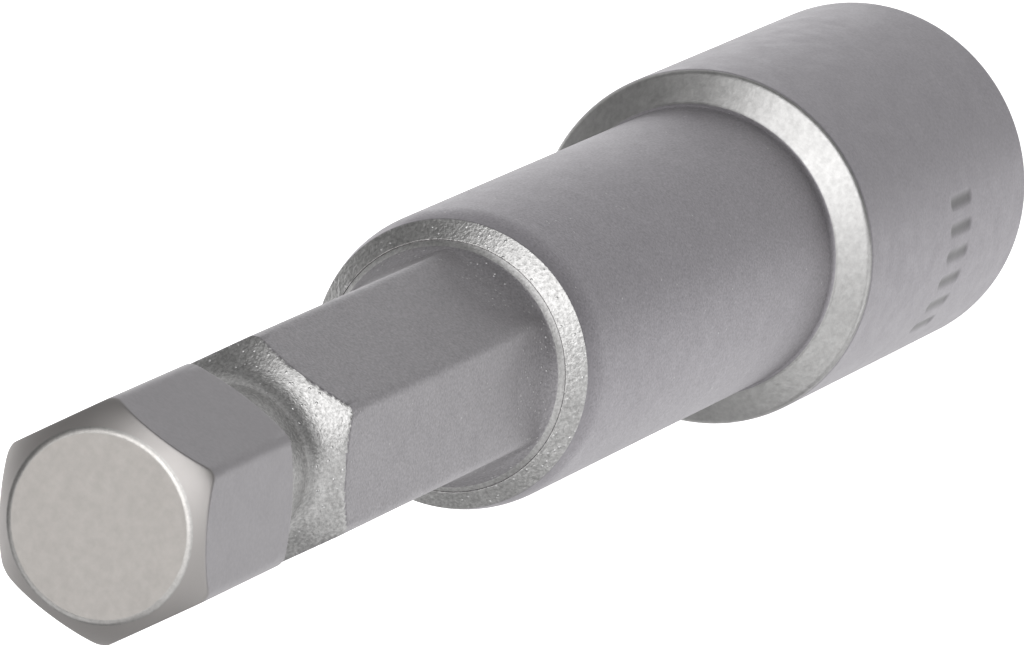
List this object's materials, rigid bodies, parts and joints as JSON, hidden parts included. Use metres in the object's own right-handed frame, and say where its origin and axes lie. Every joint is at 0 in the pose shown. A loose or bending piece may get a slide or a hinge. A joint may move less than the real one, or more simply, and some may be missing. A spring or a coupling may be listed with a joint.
{
  "type": "magnetic nut setter",
  "caption": "Steel nut setter with a grooved hex drive shank pressed into a stepped round body, a hex socket at its mouth and a sprung magnet inside the socket.",
  "frame": {"origin": "centre of the socket's mouth, on the plane of its rim", "axes": "+Z along the tool's axis from the socket's mouth to the shank's tip; +X square to one flat of the hex shank"},
  "size_m": [0.0114, 0.0114, 0.065],
  "materials": {
    "shank_steel": "satin nickel-plated steel, blasted, smooth at the tip",
    "body_steel": "satin nickel-plated steel with a fine blasted grain",
    "carrier_brass": "turned brass",
    "magnet_nickel": "nickel plate",
    "spring_steel": "drawn spring wire"
  },
  "bodies": {
    "tool_body": {"socket_body": "body_steel", "drive_shank": "shank_steel", "magnet_spring": "spring_steel"},
    "magnet_plunger": {"magnet_carrier": "carrier_brass", "magnet": "magnet_nickel"}
  },
  "joints": [
    {"name": "magnet_plunge", "type": "slide", "parent": "tool_body", "child": "magnet_plunger", "axis": [0, 0, 1], "range_m": [0, 0.003], "stiffness_N_per_m": 800, "springref_m": -0.001, "deforming": ["magnet_spring"]}
  ]
}
